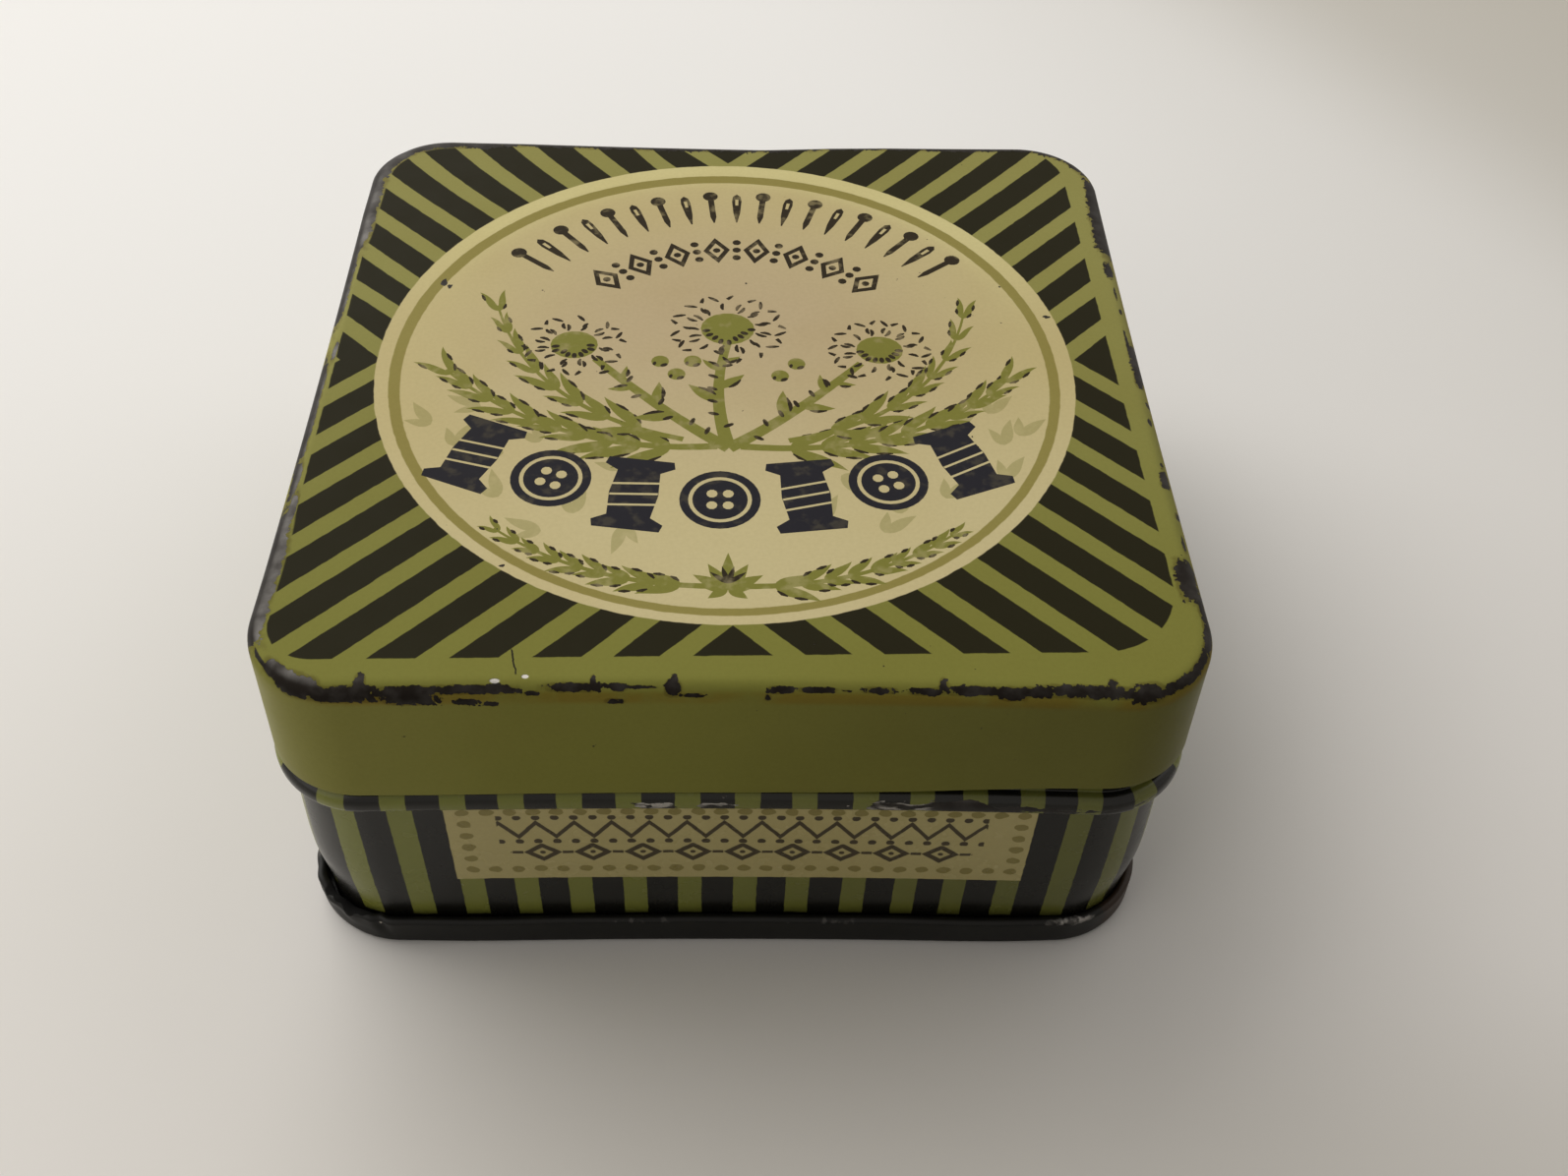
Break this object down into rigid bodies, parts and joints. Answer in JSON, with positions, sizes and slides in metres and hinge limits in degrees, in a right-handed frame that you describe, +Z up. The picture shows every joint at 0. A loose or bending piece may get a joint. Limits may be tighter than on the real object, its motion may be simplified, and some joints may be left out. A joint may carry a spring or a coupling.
{
  "type": "slip-lid tin box",
  "caption": "Small square tinplate box with rounded corners, a deep slip lid resting on a rolled bead, and a seamed black base rim.",
  "frame": {"origin": "centre of the foot of the tin, on the surface it stands on", "axes": "+Z up through the lid, +X to the right along the labelled front, +Y to the back"},
  "size_m": [0.0752, 0.0752, 0.0357],
  "materials": {
    "printed_lid": "satin lithographed tinplate, olive green with black stripes and a cream roundel, edges worn to dark metal",
    "printed_wall": "satin lithographed tinplate, olive and black upright stripes with a cream label panel, bare tin inside",
    "black_enamel": "semi-gloss black enamel with light rust and wear"
  },
  "bodies": {
    "base": {"body_wall": "printed_wall", "bottom_plate": "black_enamel"},
    "lid": {"lid": "printed_lid"}
  },
  "joints": [
    {"name": "lid_lift", "type": "slide", "parent": "base", "child": "lid", "axis": [0, 0, 1], "range_m": [0, 0.03]}
  ]
}
